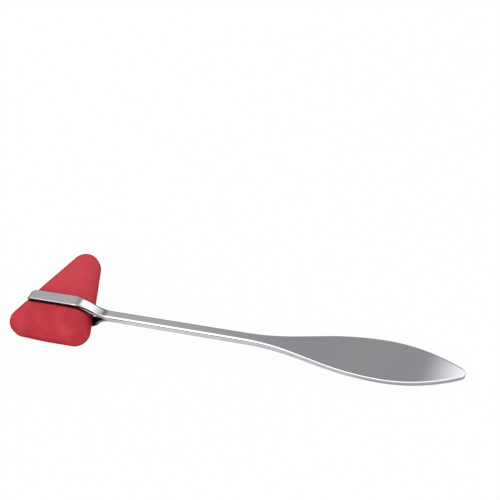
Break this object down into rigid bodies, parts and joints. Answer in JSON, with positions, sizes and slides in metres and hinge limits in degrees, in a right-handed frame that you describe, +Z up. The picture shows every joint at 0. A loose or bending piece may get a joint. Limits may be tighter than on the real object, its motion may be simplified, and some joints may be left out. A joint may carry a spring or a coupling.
{
  "type": "reflex hammer",
  "caption": "Reflex hammer with a flat triangular rubber head held in a metal loop, a forked neck, a slim shaft and a flat leaf-shaped blade.",
  "frame": {"origin": "centre of the flat underside of the loop, below the middle of the rubber head", "axes": "+X along the handle to the tip of the blade, +Y to the narrow end of the head, +Z up through the hammer's thickness"},
  "size_m": [0.2017, 0.0491, 0.0179],
  "materials": {
    "polished_chrome": "polished plating, lightly buffed",
    "red_rubber": "satin moulded rubber, slightly clouded"
  },
  "bodies": {
    "handle": {"handle": "polished_chrome"},
    "head": {"rubber_head": "red_rubber"}
  },
  "joints": [
    {"name": "head_draw", "type": "slide", "parent": "handle", "child": "head", "axis": [0, -1, 0], "range_m": [0, 0.04]}
  ]
}
